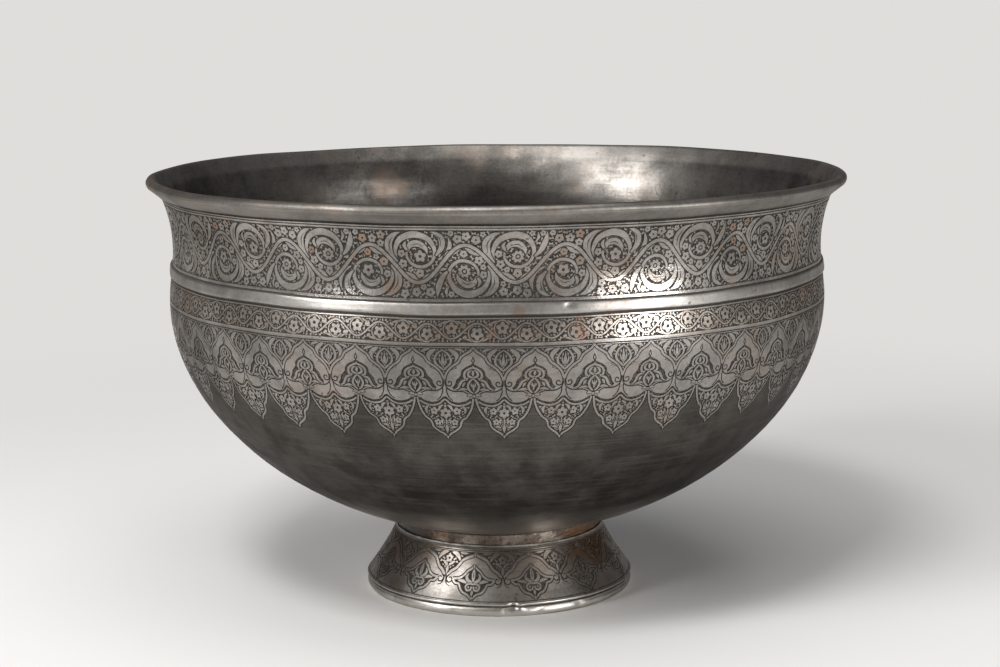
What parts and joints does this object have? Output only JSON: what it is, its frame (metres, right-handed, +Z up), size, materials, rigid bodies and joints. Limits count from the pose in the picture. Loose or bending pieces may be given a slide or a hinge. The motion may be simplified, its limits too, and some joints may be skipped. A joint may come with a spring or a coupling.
{
  "type": "footed copper basin",
  "caption": "Large round basin of tinned copper with a flared, wired lip, a moulding below the neck and a flared ring foot on a soldered collar.",
  "frame": {"origin": "centre of the foot's ring on the surface that the basin stands on", "axes": "+Z up along the basin's axis of turning; +Y away from the pictured side"},
  "size_m": [0.3498, 0.3498, 0.2129],
  "materials": {
    "tinned_copper": "old wiped tin over hammered copper, satin, with dark patina and copper showing through wear",
    "tinned_moulding": "wiped tin over copper, rubbed bright",
    "tinned_foot": "old wiped tin over copper, satin",
    "bare_copper": "bare copper, browned",
    "copper_wire": "bare drawn copper wire",
    "solder": "soft solder, dull"
  },
  "bodies": {
    "root": {"bowl_body": "tinned_copper", "rim_wire": "copper_wire", "waist_band": "tinned_moulding", "foot_collar": "bare_copper", "foot_skirt": "tinned_foot", "foot_wire": "copper_wire", "bowl_solder": "solder", "foot_solder": "solder"}
  },
  "joints": []
}
